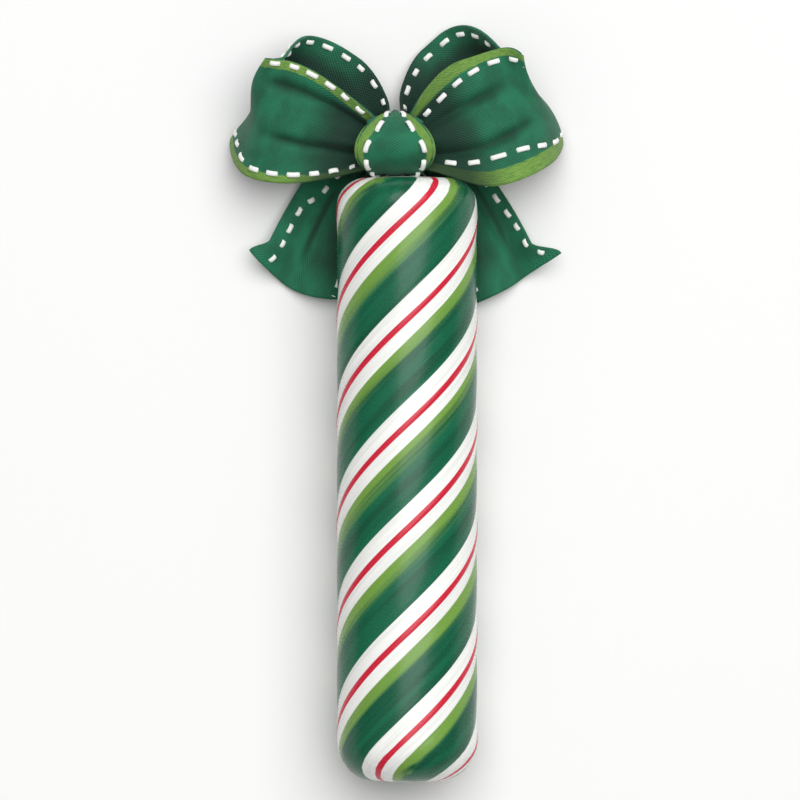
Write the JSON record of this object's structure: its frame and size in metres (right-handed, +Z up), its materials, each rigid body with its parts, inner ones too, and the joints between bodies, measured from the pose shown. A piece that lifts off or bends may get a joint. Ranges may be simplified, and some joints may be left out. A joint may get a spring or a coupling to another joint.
{
  "type": "mint candy stick",
  "caption": "Round mint candy stick with turned stripes and rounded ends, lying flat, with a two-looped ribbon bow and two tails at one end.",
  "frame": {"origin": "on the table under the middle of the stick's length, at the centre of the narrow flat that the stick rests on", "axes": "+Y along the stick towards the bow, +Z up from the table to the shown side"},
  "size_m": [0.0671, 0.1512, 0.0279],
  "materials": {
    "candy": "glossy pulled mint sugar in white, green, lime and red stripes",
    "ribbon": "matt woven green ribbon with lime borders and white running stitches"
  },
  "bodies": {
    "root": {"candy_stick": "candy", "bow_loop_left": "ribbon", "bow_loop_right": "ribbon", "bow_knot": "ribbon", "bow_tail_left": "ribbon", "bow_tail_right": "ribbon"}
  },
  "joints": []
}
